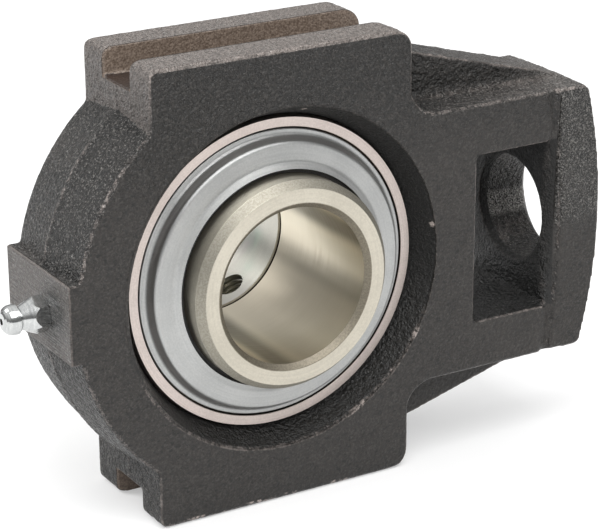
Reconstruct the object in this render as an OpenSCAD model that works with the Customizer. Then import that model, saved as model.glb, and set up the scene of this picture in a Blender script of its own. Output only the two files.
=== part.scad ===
// Tensioner bearing: a cast take-up housing that slides between two guide bars and is pulled by an adjusting
// screw. It carries a self-aligning ball bearing insert with an eccentric locking collar, and a grease nipple.
// The shaft lies along Y, the adjusting screw along X, and Z is up. The origin is the bearing's centre.

/* [Housing] */
// Height over both guide rails
housing_h = 102; // [92:0.5:120]
// Thickness, front face to back face
housing_t = 30; // [27:0.5:40]
// How far the round body stays below the tops of the rails
crown_drop = 0.7; // [0.2:0.1:4]
// Growth of the round body from either face to its parting line, left by the casting draft
body_draft = 1.2; // [0.4:0.1:2]
// The same growth on the end block
draft = 0.7; // [0.2:0.1:1.5]
// Width of the small break on cast edges
edge_break = 0.7; // [0.2:0.1:1.2]

/* [Guide rails] */
// Length of each rail
rail_l = 62.8; // [54:0.2:72]
// Width of the slot that takes the guide bar
slot_w = 12; // [9:0.5:15]
// Depth of the slot
slot_d = 6; // [4:0.5:9]
// Corner radius at the nipple end of the rails
rail_r_near = 2.2; // [1:0.1:4]
// Corner radius at the screw end of the rails
rail_r_far = 4.4; // [1:0.1:6]
// Fillet between the rails and the round body
fillet_near = 2.5; // [1:0.1:5]
// Fillet between the rails and the arm
fillet_far = 7; // [2:0.1:10]

/* [Screw end] */
// Wall between the bearing's recess and the nut pocket
pocket_wall = 10.4; // [6:0.2:16]
// Width of the nut pocket along the screw
pocket_w = 19.9; // [14:0.1:26]
// Height of the nut pocket
pocket_h = 39.4; // [30:0.2:48]
// Corner radius of the nut pocket
pocket_r = 1.2; // [0.5:0.1:3]
// Wall above and below the nut pocket
arm_wall = 11.7; // [7:0.1:16]
// Thickness of the end wall at its crown
end_wall = 14.3; // [9:0.1:20]
// Radius of the crowned end face
end_crown_r = 115; // [90:5:200]
// Corner radius of the end block
end_corner_r = 3.5; // [2:0.1:6]
// Diameter of the adjusting screw's hole
screw_hole_d = 24.6; // [18:0.1:27]
// Width of the chamfer at the hole's outer mouth
hole_bevel = 1.2; // [0.4:0.1:1.6]
// Distance from the nut pocket to the edge of the raised band round the end wall
band_start = 3.5; // [2:0.1:5]
// Radius of the band's edge, seen from the front
band_r = 270; // [150:10:400]
// Width of the hollow beside the band
hollow_w = 3.2; // [2:0.1:5]
// Depth of that hollow
hollow_d = 1.2; // [0.3:0.1:1.5]
// Depth of the flare at the front, from the nut pocket to the band
flare_d = 2.5; // [1:0.1:2.6]
// Thickness of the sloping web between the rails and the end block
web_t = 12.6; // [8:0.2:16]
// How far the web starts below the slot's floor
web_drop = 0.4; // [0:0.1:3]
// Distance from the crown of the end face to the foot of the web
web_stop = 6; // [4:0.5:12]
// Fillet along the foot of the web
web_fillet = 2.7; // [1:0.1:4]

/* [Bearing seat] */
// Width of the spherical seat
seat_w = 16; // [13:0.5:18]
// Clearance between the seat and the outer ring
seat_clear = 0.1; // [0.08:0.01:0.15]
// Widening of the conical mouth from the seat to either face
mouth_flare = 3.2; // [1.5:0.1:6]
// Clearance of the two loading notches round the outer ring
notch_clear = 0.4; // [0.2:0.1:1]
// Width of the grease groove in the seat
grease_groove_w = 5; // [4:0.5:6]
// Depth of the grease groove
grease_groove_d = 1; // [0.5:0.1:1.5]
// Diameter of the passage from the nipple to the groove
grease_way_d = 3; // [2:0.1:4]

/* [Grease nipple] */
// Height of the machined pad above the round body
pad_rise = 0.7; // [0.2:0.1:4]
// Height of the pad along the guide direction
pad_h = 17.6; // [12:0.2:22]
// Place of the nipple along the shaft
nipple_y = -2.5; // [-4:0.1:4]
// Place of the nipple in height
nipple_z = -0.9; // [-4:0.1:4]
// Width across the flats of the nipple's hexagon
nipple_af = 7; // [7:0.5:10]
// Height of the hexagon's flats
nipple_hex_l = 3.3; // [2.5:0.1:4]
// Turn of the hexagon, from a flat that faces the front
nipple_turn = 10; // [0:1:30]
// Length of the cone from the hexagon to the neck
nipple_cone_l = 2.4; // [1:0.1:3]
// Diameter of the cone's small end
nipple_cone_d = 4.8; // [4.4:0.1:5.6]
// Diameter of the nipple's thread
nipple_thread_d = 6; // [5:0.5:8]
// Length of the nipple's thread
nipple_thread_l = 6; // [4:0.5:7]
// Clearance round the nipple's thread
nipple_fit = 0.05; // [0.02:0.01:0.1]
// Depth of the tapped hole beyond the thread
tap_extra = 1.5; // [0.5:0.1:2]
// Diameter of the neck under the nipple's head
nipple_neck_d = 4.3; // [3.6:0.1:5]
// Length of that neck
nipple_neck_l = 0.4; // [0.3:0.1:2]
// Diameter of the nipple's head
nipple_head_d = 6.5; // [5.5:0.1:7.5]
// Length of the nipple's head
nipple_head_l = 3.5; // [3:0.1:5]
// Diameter of the nipple's mouth
nipple_mouth_d = 1.4; // [1:0.1:1.6]
// Diameter of the check ball
check_ball_d = 2.2; // [2:0.1:2.6]
// Clearance round the check ball
check_clear = 0.08; // [0.05:0.01:0.15]
// Distance from the nipple's mouth to the check ball's seat
check_depth = 1.7; // [1.4:0.1:2.5]
// Wall under the nipple's spring
spring_floor = 1; // [0.6:0.1:2]
// Diameter of the spring's wire
spring_wire_d = 0.3; // [0.2:0.05:0.4]
// Turns of the spring
spring_turns = 7; // [5:1:9]

/* [Insert bearing] */
// Diameter of the shaft
shaft_d = 35; // [30:0.5:38]
// Clearance between the bore and the shaft
shaft_clear = 0.015; // [0.01:0.005:0.05]
// Diameter of the spherical outside
outer_d = 72; // [66:0.5:78]
// Width of the outer ring
outer_w = 19; // [17:0.5:20]
// Width of the outer ring's face outside the shield
rim_w = 2.2; // [1.4:0.1:3]
// Radial distance from the ball circle to the outer ring's land
outer_land = 3.6; // [2.8:0.1:4.2]
// Radial distance from the ball circle to the inner ring's land
inner_land = 3.35; // [2.8:0.05:4.2]
// Distance from the bearing's centre to the inner ring's front face
inner_front = 19.4; // [17:0.1:22]
// Distance from the bearing's centre to the inner ring's back face
inner_back = 17.6; // [16.5:0.1:20]
// Width of the chamfer on the inner ring's front edge
inner_bevel = 1.5; // [0.5:0.1:2]
// Length of that chamfer along the shaft
inner_bevel_l = 1.9; // [0.5:0.1:3]
// Width of the chamfer at the front mouth of the bore
bore_bevel = 1.1; // [0.3:0.1:1.5]
// Width of the chamfers where the bore runs from the inner ring into the collar
back_bevel = 0.5; // [0.2:0.1:1]
// Diameter of the two grease holes in the outer ring
oil_hole_d = 1.6; // [1:0.1:2.4]

/* [Balls and cage] */
// Diameter of the balls
ball_d = 11.112; // [10.3:0.1:11.5]
// Clearance between each ball and either raceway
ball_clear = 0.06; // [0.05:0.01:0.1]
// Clearance of the balls in the cage
cage_clear = 0.16; // [0.1:0.02:0.3]
// Thickness of the cage's sheet
cage_t = 0.8; // [0.6:0.1:1]
// Width of the cage's band
cage_w = 4.4; // [3.5:0.1:5]
// Diameter of the cage rivets
rivet_d = 1.4; // [1:0.1:1.8]
// Diameter of the rivets' heads
rivet_head_d = 2.4; // [1.8:0.1:3]
// Height of the rivets' heads
rivet_head_l = 0.8; // [0.5:0.1:1.2]

/* [Shields] */
// Thickness of the shield's sheet
shield_t = 0.8; // [0.5:0.1:1]
// Clearance round the shield's flange
shield_fit = 0.25; // [0.1:0.01:0.3]
// How far the flange lies below the outer ring's face
shield_sink = 0.1; // [0:0.05:0.3]
// Width of the flange
flange_w = 1.4; // [1:0.1:2]
// Run of the steep wall between the flange and the raised flat
shield_run = 0.9; // [0.5:0.1:1.5]
// Height of the raised flat above the outer ring's face
shield_rise = 2.5; // [1.5:0.1:3]
// Rise of the raised flat towards the inner ring
flat_rise = 0.5; // [0.2:0.1:1]
// Width of the turned-up inner edge
nose_w = 1.6; // [1:0.1:2.5]
// Rise of the turned-up inner edge
nose_rise = 0.8; // [0.4:0.1:1.2]
// Bend radius at the foot of the steep wall
foot_bend = 1; // [0.4:0.1:1.4]
// Bend radius at the top of the steep wall
top_bend = 1; // [0.9:0.1:1.4]
// Bend radius where the inner edge turns up
nose_bend = 2; // [1:0.1:3]
// Rounding of the flange's edge
flange_round = 0.3; // [0.1:0.1:0.5]
// Gap between the shield and the inner ring
shield_gap = 1; // [0.6:0.1:1.5]
// Thickness of the rubber behind the shield
rubber_t = 1; // [0.6:0.1:1.5]
// Gap between the shield and the rubber
rubber_gap = 0.1; // [0.05:0.01:0.2]
// Thickness of the rubber at the edge of the lip
lip_t = 0.5; // [0.3:0.1:0.8]
// Running gap under the rubber lip
lip_gap = 0.08; // [0.06:0.01:0.2]

/* [Locking collar] */
// Wall of the collar round the shaft
collar_wall = 8.5; // [7:0.1:11]
// Length of the collar beyond the inner ring
collar_l = 14.7; // [12:0.1:18]
// Width of the chamfer on the collar's outer end
collar_bevel = 1.2; // [0.4:0.1:2]
// Width of the break on the collar's inner end
collar_break = 0.5; // [0.2:0.1:1]
// Length of the eccentric cam on the inner ring
cam_l = 4; // [3:0.2:4.6]
// Mean wall of the cam round the shaft
cam_wall = 3.5; // [3:0.1:4.2]
// Eccentricity of the cam and of the collar's recess
cam_e = 0.8; // [0.6:0.05:1]
// Clearance between the cam and the collar's recess
cam_clear = 0.36; // [0.34:0.02:0.5]
// End gap between the collar and the inner ring
collar_gap = 0.4; // [0.15:0.05:0.6]
// Direction of the set screw round the shaft
screw_angle = -63; // [-180:1:180]
// Distance from the inner ring's back face to the set screw
screw_y = 7.1; // [5.5:0.1:8.5]
// Core diameter of the set screw's thread
screw_d = 6.8; // [5:0.1:7]
// Depth of the set screw's thread
thread_d = 0.45; // [0.3:0.05:0.6]
// Pitch of the set screw's thread
screw_pitch = 1.25; // [1.1:0.05:1.5]
// Length of the set screw
screw_l = 5.6; // [4:0.1:7]
// How far the set screw is backed out of the collar
screw_proud = 1.6; // [0:0.1:2]
// Width across the flats of the set screw's socket
socket_af = 4; // [3:0.5:4]
// Depth of that socket
socket_l = 3.3; // [2:0.1:4]
// Width of the breaks at the set screw's ends
screw_break = 0.5; // [0.3:0.1:0.8]
// Running gap round the set screw
screw_gap = 0.08; // [0.06:0.01:0.15]
// Diameter of the blind hole for the drift pin
drift_d = 6.8; // [5:0.1:8]
// Depth of that hole
drift_l = 3; // [2:0.1:3.4]

/* [Hidden] */
$fn = 64;
eps = 0.01;
// Steps in each bend of a sheet
bend_n = 6;
// Steps in the dome of the nipple's head
dome_n = 6;
metal = "Silver";
iron = "DimGray";

// Insert, from the shaft outwards
bore_r = shaft_d / 2 + shaft_clear;
outer_r = outer_d / 2;
outer_half = outer_w / 2;
outer_face_r = sqrt(outer_r * outer_r - outer_half * outer_half);
// The ball circle lies half way between the shaft and the outside
pitch_r = (shaft_d + outer_d) / 4;
ball_r = ball_d / 2;
// Nine balls, one to each ball node
ball_n = 9;
ball_angle = 360 / ball_n;
race_r = ball_r + ball_clear;
outer_land_r = pitch_r + outer_land;
race_half_w = sqrt(race_r * race_r - outer_land * outer_land);
inner_r = pitch_r - inner_land;
cage_pocket_r = ball_r + cage_clear;
cage_in = pitch_r - cage_w / 2;
cage_out = pitch_r + cage_w / 2;

// Shields
shield_seat_r = outer_face_r - rim_w;
shield_foot_r = shield_seat_r - shield_fit - flange_w;
shield_flat_r = shield_foot_r - shield_run;
shield_in = inner_r + shield_gap;
nose_r = shield_in + nose_w;
flange_y = outer_half - shield_sink;
step_y = flange_y - shield_t;
shield_y = outer_half + shield_rise;
nose_y = shield_y + flat_rise;
shield_end = nose_y + nose_rise;
oil_hole_y = -(race_half_w + step_y) / 2;

// Collar
cam_start = inner_back - cam_l;
cam_r = bore_r + cam_wall;
collar_r = bore_r + collar_wall;
collar_start = cam_start + collar_gap;
collar_floor = inner_back + collar_gap;
collar_end = inner_back + collar_l;
screw_r = screw_d / 2;
screw_tip = collar_r + screw_proud - screw_l;

// Housing
half_t = housing_t / 2;
rail_top = housing_h / 2;
rail_x = rail_l / 2;
slot_floor = rail_top - slot_d;
body_r = rail_top - body_draft - crown_drop;
seat_r = outer_r + seat_clear;
seat_half = seat_w / 2;
seat_edge_r = sqrt(seat_r * seat_r - seat_half * seat_half);
recess_r = seat_edge_r + mouth_flare;
pocket_x = recess_r + pocket_wall;
pocket_end = pocket_x + pocket_w;
end_x = pocket_end + end_wall;
band_x = pocket_end + band_start;
arm_h = pocket_h / 2 + arm_wall;
arm_mid_h = arm_h + draft;
web_half = web_t / 2;

// Grease nipple
pad_x = body_r + body_draft + pad_rise;
grease_y = (nipple_y + oil_hole_y) / 2;
nipple_thread_r = nipple_thread_d / 2;
nipple_cone_top = nipple_hex_l + nipple_cone_l;
nipple_neck_top = nipple_cone_top + nipple_neck_l;
nipple_l = nipple_neck_top + nipple_head_l;
check_r = check_ball_d / 2;
check_way_r = check_r + check_clear;
check_seat = nipple_l - check_depth;
check_z = check_seat - check_clear;

// Turns a profile of radius and place along the shaft into a solid round the shaft
module turned() {
    rotate([-90, 0, 0])
        rotate_extrude()
            children();
}

// Gives an outline in X and Z a thickness along Y
module across(t) {
    rotate([90, 0, 0])
        linear_extrude(t, center = true)
            children();
}

// Gives an outline in Y and Z a length along X
module along(x0, x1) {
    translate([x0, 0, 0])
        rotate([90, 0, 90])
            linear_extrude(x1 - x0)
                children();
}

// Both the part above the middle and its mirror image below
module top_and_bottom() {
    children();
    mirror([0, 0, 1])
        children();
}

// Both the front part and its mirror image at the back
module front_and_back() {
    children();
    mirror([0, 1, 0])
        children();
}

// A straight-sided outline whose two upper corners are rounded
module round_topped(x0, x1, z1, r0, r1) {
    translate([x0 + r0, 0])
        square([x1 - x0 - r0 - r1, z1]);
    translate([x0, 0])
        square([r0 + eps, z1 - r0]);
    translate([x1 - r1 - eps, 0])
        square([r1 + eps, z1 - r1]);
    translate([x0 + r0, z1 - r0])
        circle(r = r0);
    translate([x1 - r1, z1 - r1])
        circle(r = r1);
}

// A rectangle with four rounded corners
module rounded(w, h, r) {
    translate([r, 0])
        square([w - 2 * r, h]);
    translate([0, r])
        square([w, h - 2 * r]);
    for (x = [r, w - r], z = [r, h - r])
        translate([x, z])
            circle(r = r);
}

// Section across a casting that is widest at its parting line and broken at its outer edges
module drafted_section(half_h, grow) {
    polygon([
        [-half_t, 0],
        [-half_t, half_h - edge_break],
        [edge_break - half_t, half_h],
        [0, half_h + grow],
        [half_t - edge_break, half_h],
        [half_t, half_h - edge_break],
        [half_t, 0]
    ]);
}

// The half of the round body on the nipple's side; the rails and the arm make the other half
module round_body() {
    intersection() {
        turned()
            polygon([
                [0, -half_t],
                [body_r - edge_break, -half_t],
                [body_r, edge_break - half_t],
                [body_r + body_draft, 0],
                [body_r, half_t - edge_break],
                [body_r - edge_break, half_t],
                [0, half_t]
            ]);
        translate([-housing_h, -housing_t, -housing_h])
            cube([housing_h, 2 * housing_t, 2 * housing_h]);
    }
}

module rails() {
    top_and_bottom()
        intersection() {
            across(housing_t)
                round_topped(-rail_x, rail_x, rail_top, rail_r_near, rail_r_far);
            along(-rail_l, rail_l)
                drafted_section(rail_top, 0);
        }
}

// Hollows out a fillet with a round bar whose ends flare to break the cast edges
module fillet_bar(x, z, r) {
    translate([x, 0, z])
        turned()
            polygon([
                [0, -half_t - eps],
                [r + edge_break + eps, -half_t - eps],
                [r, edge_break - half_t],
                [r, half_t - edge_break],
                [r + edge_break + eps, half_t + eps],
                [0, half_t + eps]
            ]);
}

// Cast fillets where the rails meet the round body and the arm
module rail_fillets() {
    near_x = -rail_x - fillet_near;
    near_z = sqrt(pow(body_r + fillet_near, 2) - near_x * near_x);
    touch = body_r / (body_r + fillet_near);
    top_and_bottom() {
        difference() {
            across(housing_t)
                polygon([
                    [-rail_x, near_z],
                    [near_x, near_z],
                    [near_x * touch, near_z * touch],
                    [0, 0],
                    [-rail_x + rail_r_near, near_z]
                ]);
            fillet_bar(near_x, near_z, fillet_near);
        }
        difference() {
            across(housing_t)
                translate([rail_x - eps, arm_h - eps])
                    square(fillet_far + eps);
            fillet_bar(rail_x + fillet_far, arm_h + fillet_far, fillet_far);
        }
    }
}

module end_outline() {
    straight_h = arm_mid_h - end_corner_r;
    crown_x = end_x - end_crown_r + sqrt(end_crown_r * end_crown_r - straight_h * straight_h);
    intersection() {
        translate([end_x - end_crown_r, 0])
            circle(r = end_crown_r, $fn = 256);
        square([end_x, straight_h]);
    }
    square([crown_x - end_corner_r, arm_mid_h]);
    translate([crown_x - end_corner_r, straight_h])
        circle(r = end_corner_r);
}

module end_block() {
    top_and_bottom()
        intersection() {
            across(housing_t)
                end_outline();
            along(0, end_x)
                drafted_section(arm_h, draft);
        }
}

// Section across a web, with a fillet along either foot
module web_section() {
    foot = arm_mid_h - draft * web_half / half_t;
    translate([-web_half, 0])
        square([web_t, slot_floor]);
    for (side = [0, 1])
        mirror([side, 0])
            difference() {
                translate([0, foot - web_fillet])
                    square([web_half + web_fillet, 2 * web_fillet]);
                translate([web_half + web_fillet, foot + web_fillet])
                    circle(r = web_fillet);
            }
}

// Sloping ribs that carry on from the slot floors down to the end block
module webs() {
    web_end = end_x - web_stop;
    top_and_bottom()
        intersection() {
            across(housing_t)
                polygon([
                    [0, 0],
                    [web_end, 0],
                    [web_end, arm_mid_h],
                    [rail_x, slot_floor - web_drop],
                    [0, slot_floor - web_drop]
                ]);
            along(0, end_x)
                web_section();
        }
}

module nipple_pad() {
    translate([-pad_x, -half_t, -pad_h / 2])
        cube([pad_x, housing_t, pad_h]);
}

module guide_slots() {
    top_and_bottom()
        translate([-rail_l, -slot_w / 2, slot_floor])
            cube([2 * rail_l, slot_w, housing_h]);
}

module nut_pocket() {
    across(2 * housing_t)
        translate([pocket_x, -pocket_h / 2])
            rounded(pocket_w, pocket_h, pocket_r);
}

// The curved edge of the band round the end wall: a hollow beside it
module band_edge() {
    front_and_back()
        translate([band_x - band_r, 0, 0])
            turned($fn = 256)
                polygon([
                    [band_r - hollow_w, -half_t - eps],
                    [band_r - hollow_d / 4, hollow_d - half_t],
                    [band_r, -half_t - eps]
                ]);
}

// The flare at the front, from the nut pocket to the band
module pocket_flare() {
    translate([band_x - band_r, 0, 0])
        intersection() {
            turned($fn = 256)
                polygon([
                    [band_r - band_start, -half_t - eps],
                    [band_r - band_start, flare_d - half_t],
                    [band_r, -half_t - eps]
                ]);
            translate([0, -housing_t, -pocket_h / 2])
                cube([2 * band_r, housing_t, pocket_h]);
        }
}

// The adjusting screw's hole, chamfered where it leaves the crowned end face
module screw_hole() {
    hole_r = screw_hole_d / 2;
    mouth_x = end_x - end_crown_r + sqrt(end_crown_r * end_crown_r - hole_r * hole_r);
    translate([pocket_end - eps, 0, 0])
        rotate([0, 90, 0])
            cylinder(r = hole_r, h = end_wall + 1);
    translate([mouth_x - hole_bevel, 0, 0])
        rotate([0, 90, 0])
            cylinder(r1 = hole_r, r2 = hole_r + 2 * hole_bevel, h = 2 * hole_bevel);
}

// The spherical seat with a conical mouth on each side, and the grease groove
module seat() {
    turned() {
        intersection() {
            circle(r = seat_r, $fn = 128);
            translate([0, -seat_half])
                square([seat_r, seat_w]);
        }
        for (side = [0, 1])
            mirror([0, side])
                polygon([
                    [0, half_t + eps],
                    [recess_r, half_t + eps],
                    [seat_edge_r, seat_half],
                    [seat_edge_r, 0],
                    [0, 0]
                ]);
        translate([0, grease_y - grease_groove_w / 2])
            square([seat_r + grease_groove_d, grease_groove_w]);
    }
}

// Two notches at the back, through which the insert goes in on edge before it is turned
module loading_notches() {
    notch_w = outer_w + 2 * notch_clear;
    intersection() {
        rotate([-90, 0, 0])
            cylinder(r = seat_r, h = housing_t);
        translate([-notch_w / 2, 0, -housing_h])
            cube([notch_w, housing_t, 2 * housing_h]);
    }
}

// The tapped hole in the pad and the passage from it to the grease groove
module grease_way() {
    translate([-pad_x, nipple_y, nipple_z])
        rotate([0, 90, 0]) {
            translate([0, 0, -eps])
                cylinder(r = nipple_thread_r + nipple_fit, h = nipple_thread_l + tap_extra);
            cylinder(d = grease_way_d, h = pad_x - seat_r + grease_way_d / 2);
        }
}

module take_up_housing() {
    color(iron)
        difference() {
            union() {
                round_body();
                rails();
                rail_fillets();
                end_block();
                webs();
                nipple_pad();
            }
            guide_slots();
            nut_pocket();
            band_edge();
            pocket_flare();
            screw_hole();
            seat();
            loading_notches();
            grease_way();
        }
}

// Stands a piece that is drawn upright on the nipple pad
module on_pad() {
    translate([-pad_x, nipple_y, nipple_z])
        rotate([0, -90, 0])
            children();
}

// The hexagon, with its lower corners broken and a cone above its flats
module nipple_hex() {
    flat_r = nipple_af / 2;
    hex_r = flat_r / cos(30);
    corner = hex_r - flat_r;
    cone_r = nipple_cone_d / 2;
    cone_rise = nipple_cone_l / (flat_r - cone_r);
    intersection() {
        rotate([0, 0, nipple_turn])
            cylinder(r = hex_r, h = nipple_cone_top, $fn = 6);
        rotate_extrude()
            polygon([
                [0, 0],
                [flat_r + corner / 2, 0],
                [hex_r + corner / 4, corner * 0.75],
                [hex_r + corner / 4, nipple_hex_l - corner * 1.25 * cone_rise],
                [cone_r, nipple_cone_top],
                [0, nipple_cone_top]
            ]);
    }
}

// The turned part: the thread, the neck and the head that a coupler grips
module nipple_turned() {
    head_r = nipple_head_d / 2;
    neck_r = nipple_neck_d / 2;
    tip_r = nipple_mouth_d / 2 + check_r / 2;
    head_break = nipple_head_l / 10;
    dome_foot = nipple_neck_top + nipple_head_l / 3;
    dome = [for (i = [0:dome_n])
        let (turn = 90 * i / dome_n)
        [tip_r + (head_r - tip_r) * cos(turn), dome_foot + (nipple_l - dome_foot) * sin(turn)]];
    rotate_extrude()
        polygon(concat(
            [
                [0, -nipple_thread_l],
                [nipple_thread_r * 0.84, -nipple_thread_l],
                [nipple_thread_r, nipple_thread_r * 0.16 - nipple_thread_l],
                [nipple_thread_r, eps],
                [neck_r, nipple_hex_l - eps],
                [neck_r, nipple_neck_top],
                [head_r - head_break, nipple_neck_top],
                [head_r, nipple_neck_top + head_break]
            ],
            dome,
            [[0, nipple_l]]
        ));
}

module nipple_body() {
    mouth_r = nipple_mouth_d / 2;
    color(metal)
        on_pad()
            difference() {
                union() {
                    nipple_hex();
                    nipple_turned();
                }
                translate([0, 0, spring_floor - nipple_thread_l])
                    cylinder(r = check_way_r, h = check_seat + nipple_thread_l - spring_floor);
                translate([0, 0, check_seat - eps])
                    cylinder(r1 = check_way_r, r2 = mouth_r, h = check_r);
                translate([0, 0, -nipple_thread_l - eps])
                    cylinder(r = mouth_r, h = 2 * nipple_thread_l + nipple_l);
            }
}

module nipple_check_ball() {
    color(metal)
        on_pad()
            translate([0, 0, check_z])
                sphere(r = check_r);
}

// A coil of round wire between the foot of the nipple's bore and the check ball
module nipple_spring() {
    coil_r = check_r - spring_wire_d;
    foot = spring_floor - nipple_thread_l + eps;
    top = check_z - check_r - eps;
    color(metal)
        on_pad()
            translate([0, 0, foot])
                linear_extrude(top - foot, twist = -360 * spring_turns, slices = 12 * spring_turns, $fn = 8)
                    translate([coil_r, 0])
                        circle(d = spring_wire_d);
}

module outer_ring() {
    color(metal)
        difference() {
            turned()
                difference() {
                    intersection() {
                        circle(r = outer_r, $fn = 128);
                        translate([outer_land_r, -outer_half])
                            square([outer_r, outer_w]);
                    }
                    translate([pitch_r, 0])
                        circle(r = race_r);
                    shield_recess();
                    mirror([0, 1])
                        shield_recess();
                }
            for (turn = [0, 180])
                rotate([0, turn, 0])
                    translate([outer_land_r - rim_w, oil_hole_y, 0])
                        rotate([0, 90, 0])
                            cylinder(d = oil_hole_d, h = outer_r - outer_land_r + 2 * rim_w);
        }
}

// Outline of the step in the outer ring that holds a shield, with a broken edge at its mouth
module shield_recess() {
    broken = shield_t / 4;
    polygon([
        [0, step_y],
        [shield_seat_r, step_y],
        [shield_seat_r, outer_half - broken],
        [shield_seat_r + broken, outer_half + eps],
        [0, outer_half + eps]
    ]);
}

module inner_ring() {
    color(metal)
        difference() {
            union() {
                turned()
                    difference() {
                        polygon([
                            [0, -inner_front],
                            [inner_r - inner_bevel, -inner_front],
                            [inner_r, inner_bevel_l - inner_front],
                            [inner_r, cam_start],
                            [0, cam_start]
                        ]);
                        translate([pitch_r, 0])
                            circle(r = race_r);
                    }
                translate([cam_e, cam_start - eps, 0])
                    rotate([-90, 0, 0])
                        cylinder(r = cam_r, h = cam_l + eps);
            }
            turned()
                polygon([
                    [0, -inner_front - eps],
                    [bore_r + bore_bevel + eps, -inner_front - eps],
                    [bore_r, bore_bevel - inner_front],
                    [bore_r, inner_back - back_bevel],
                    [bore_r + back_bevel + eps, inner_back + eps],
                    [0, inner_back + eps]
                ]);
        }
}

module ball(i) {
    color(metal)
        rotate([0, (i - 1) * ball_angle, 0])
            translate([pitch_r, 0, 0])
                sphere(r = ball_r);
}

// Repeats a piece at each gap between the balls
module between_balls() {
    for (i = [1:ball_n])
        rotate([0, (i - 0.5) * ball_angle, 0])
            translate([pitch_r, 0, 0])
                children();
}

// Cylinders that point out from the shaft through the middle of each ball
module ball_pockets(r) {
    for (i = [1:ball_n])
        rotate([0, (i - 1) * ball_angle + 90, 0])
            translate([0, 0, cage_in - cage_w / 2])
                cylinder(r = r, h = 2 * cage_w);
}

// A pressed ribbon: flat tabs between the balls and a round pocket over each ball
module cage_half() {
    difference() {
        intersection() {
            union() {
                turned()
                    square([cage_out, cage_t]);
                ball_pockets(cage_pocket_r + cage_t);
            }
            turned()
                translate([cage_in, 0])
                    square([cage_w, 2 * ball_r]);
        }
        ball_pockets(cage_pocket_r);
        between_balls()
            rotate([90, 0, 0])
                cylinder(d = rivet_d, h = 4 * cage_t, center = true);
    }
}

module cage_front_half() {
    color(metal)
        mirror([0, 1, 0])
            cage_half();
}

module cage_rear_half() {
    color(metal)
        cage_half();
}

module cage_rivets() {
    color(metal)
        between_balls()
            rotate([90, 0, 0]) {
                cylinder(d = rivet_d, h = 2 * cage_t, center = true);
                for (side = [0, 1])
                    mirror([0, 0, side])
                        translate([0, 0, cage_t])
                            cylinder(d1 = rivet_head_d, d2 = rivet_d, h = rivet_head_l);
            }
}

// Points on a bend of radius r at b, in a run that comes from a and goes on to c
function bend(a, b, c, r) =
    let (
        u = (a - b) / norm(a - b),
        v = (c - b) / norm(c - b),
        half = acos(u * v) / 2,
        centre = b + (u + v) / norm(u + v) * r / sin(half),
        first = b + u * r / tan(half) - centre,
        last = b + v * r / tan(half) - centre
    )
    [for (i = [0:bend_n])
        let (step = first * (bend_n - i) + last * i)
        centre + step / norm(step) * r];

// A pressed steel shield: a flange in the outer ring, a steep wall and a gently coned flat
module shield() {
    rim = [shield_seat_r - shield_fit, flange_y];
    foot = [shield_foot_r, flange_y];
    top = [shield_flat_r, shield_y];
    nose = [nose_r, nose_y];
    edge = [shield_in, shield_end];
    under = [0, -shield_t];
    behind = [-shield_t, -shield_t];
    turned()
        polygon(concat(
            [rim + under],
            bend(rim + under, rim, foot, flange_round),
            bend(rim, foot, top, foot_bend),
            bend(foot, top, nose, top_bend),
            bend(top, nose, edge, nose_bend),
            [edge, edge + under],
            bend(edge + under, nose + under, top + behind, nose_bend + shield_t),
            bend(nose + under, top + behind, foot + behind, top_bend - shield_t),
            bend(top + behind, foot + behind, rim + under, foot_bend + shield_t)
        ));
}

// A rubber ring behind the shield, with a lip that runs on the inner ring
module seal_lip() {
    back = shield_t + rubber_gap;
    lip_r = inner_r + lip_gap;
    root_r = shield_flat_r - shield_t - rubber_t;
    turned()
        polygon([
            [root_r, shield_y - back],
            [nose_r, nose_y - back],
            [lip_r, shield_end - back],
            [lip_r, shield_end - back - lip_t],
            [nose_r, nose_y - back - rubber_t],
            [root_r, shield_y - back - rubber_t]
        ]);
}

module front_shield() {
    color(metal)
        mirror([0, 1, 0])
            shield();
}

module front_seal_lip() {
    color("Black")
        mirror([0, 1, 0])
            seal_lip();
}

module rear_shield() {
    color(metal)
        shield();
}

module rear_seal_lip() {
    color("Black")
        seal_lip();
}

// Points a piece that is drawn upright from the shaft out through the set screw's hole
module at_set_screw() {
    translate([0, inner_back + screw_y, 0])
        rotate([0, 90 - screw_angle, 0])
            children();
}

module locking_collar() {
    hole_r = screw_r + screw_gap;
    color(metal)
        difference() {
            turned()
                polygon([
                    [0, collar_start],
                    [collar_r - collar_break, collar_start],
                    [collar_r, collar_start + collar_break],
                    [collar_r, collar_end - collar_bevel],
                    [collar_r - collar_bevel, collar_end],
                    [0, collar_end]
                ]);
            translate([cam_e, collar_start - eps, 0])
                rotate([-90, 0, 0])
                    cylinder(r = cam_r + cam_clear, h = collar_floor - collar_start + eps);
            turned()
                polygon([
                    [0, collar_start],
                    [bore_r + back_bevel, collar_start],
                    [bore_r + back_bevel, collar_floor],
                    [bore_r, collar_floor + back_bevel],
                    [bore_r, collar_end - back_bevel],
                    [bore_r + back_bevel + eps, collar_end + eps],
                    [0, collar_end + eps]
                ]);
            at_set_screw() {
                cylinder(r = hole_r, h = 2 * collar_r);
                for (depth = [bore_r + screw_pitch:screw_pitch:collar_r - screw_pitch / 2])
                    translate([0, 0, depth])
                        thread_groove(hole_r);
            }
            rotate([0, 180 - screw_angle, 0])
                translate([0, inner_back + screw_y, collar_r - drift_l])
                    cylinder(d = drift_d, h = 2 * drift_l);
        }
}

// One turn of the thread, cut as a V groove round the hole
module thread_groove(r) {
    rotate_extrude()
        polygon([
            [r - thread_d, -thread_d * 1.3],
            [r + thread_d, 0],
            [r - thread_d, thread_d * 1.3]
        ]);
}

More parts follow.
